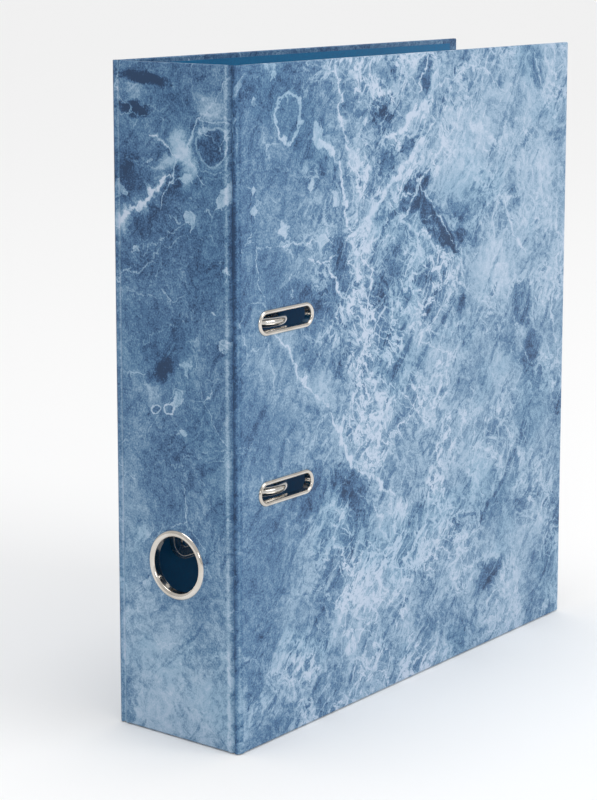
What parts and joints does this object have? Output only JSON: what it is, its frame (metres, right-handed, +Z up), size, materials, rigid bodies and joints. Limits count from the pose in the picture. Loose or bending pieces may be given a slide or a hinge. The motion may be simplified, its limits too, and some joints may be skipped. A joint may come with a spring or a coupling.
{
  "type": "lever arch file",
  "caption": "Closed board lever arch file with a printed wrap, a metal finger ring in the spine, slots for the rings in the front cover and a working ring mechanism inside.",
  "frame": {"origin": "middle of the base, on the surface the file stands on", "axes": "+Z up; spine at -X, fore-edge at +X, front cover at -Y, back cover with the mechanism at +Y"},
  "size_m": [0.283, 0.0766, 0.318],
  "materials": {
    "ice_print": "printed paper with a satin film",
    "greyboard": "dense greyboard",
    "teal_lining": "coloured lining paper, matt",
    "nickel": "nickel plated, bright",
    "bright_wire": "nickel plated wire, bright",
    "plated_sheet": "nickel plated pressed sheet",
    "roller_steel": "turned steel"
  },
  "bodies": {
    "back_cover": {"back_board": "greyboard", "back_wrap": "ice_print", "back_lining": "teal_lining", "back_joint_wrap": "ice_print", "back_joint_lining": "teal_lining", "base_plate": "plated_sheet", "mechanism_rivets": "nickel", "post_upper": "bright_wire", "post_lower": "bright_wire", "lever_bracket": "plated_sheet", "bracket_rivets": "nickel", "lever_pin": "nickel"},
    "spine": {"spine_board": "greyboard", "spine_wrap": "ice_print", "spine_lining": "teal_lining", "finger_ring": "nickel", "finger_ring_collar": "nickel", "front_joint_wrap": "ice_print", "front_joint_lining": "teal_lining"},
    "front_cover": {"front_board": "greyboard", "front_wrap": "ice_print", "front_lining": "teal_lining", "slot_rim_upper": "nickel", "slot_rim_lower": "nickel", "slot_collar_upper": "nickel", "slot_collar_lower": "nickel"},
    "arches": {"bail_wire": "bright_wire", "rocker_plate": "plated_sheet"},
    "lever": {"lever": "plated_sheet", "roller_pin": "nickel"},
    "roller": {"roller": "roller_steel"},
    "compressor": {"compressor_bar": "plated_sheet"}
  },
  "joints": [
    {"name": "spine_hinge", "type": "hinge", "parent": "back_cover", "child": "spine", "pos_m": [-0.139, 0.0362, 0.159], "axis": [0, 0, -1], "range_deg": [0, 90], "deforming": ["back_joint_wrap", "back_joint_lining"]},
    {"name": "front_hinge", "type": "hinge", "parent": "spine", "child": "front_cover", "pos_m": [-0.139, -0.0358, 0.159], "axis": [0, 0, -1], "range_deg": [0, 180], "deforming": ["front_joint_wrap", "front_joint_lining"]},
    {"name": "lever_hinge", "type": "hinge", "parent": "back_cover", "child": "lever", "pos_m": [-0.0985, 0.0207, 0.158], "axis": [0, 0, 1], "range_deg": [0, 72]},
    {"name": "arches_hinge", "type": "hinge", "parent": "back_cover", "child": "arches", "pos_m": [-0.1115, 0.0287, 0.158], "axis": [0, 0, -1], "range_deg": [0, 18]},
    {"name": "roller_spin", "type": "hinge", "parent": "lever", "child": "roller", "pos_m": [-0.1005, 0.0258, 0.158], "axis": [0, 0, 1], "continuous": true},
    {"name": "compressor_slide", "type": "slide", "parent": "back_cover", "child": "compressor", "axis": [0, -1, 0], "range_m": [0, 0.038]}
  ],
  "couplings": [
    {"joint": "arches_hinge", "follows": "lever_hinge", "ratio": 0.25}
  ]
}
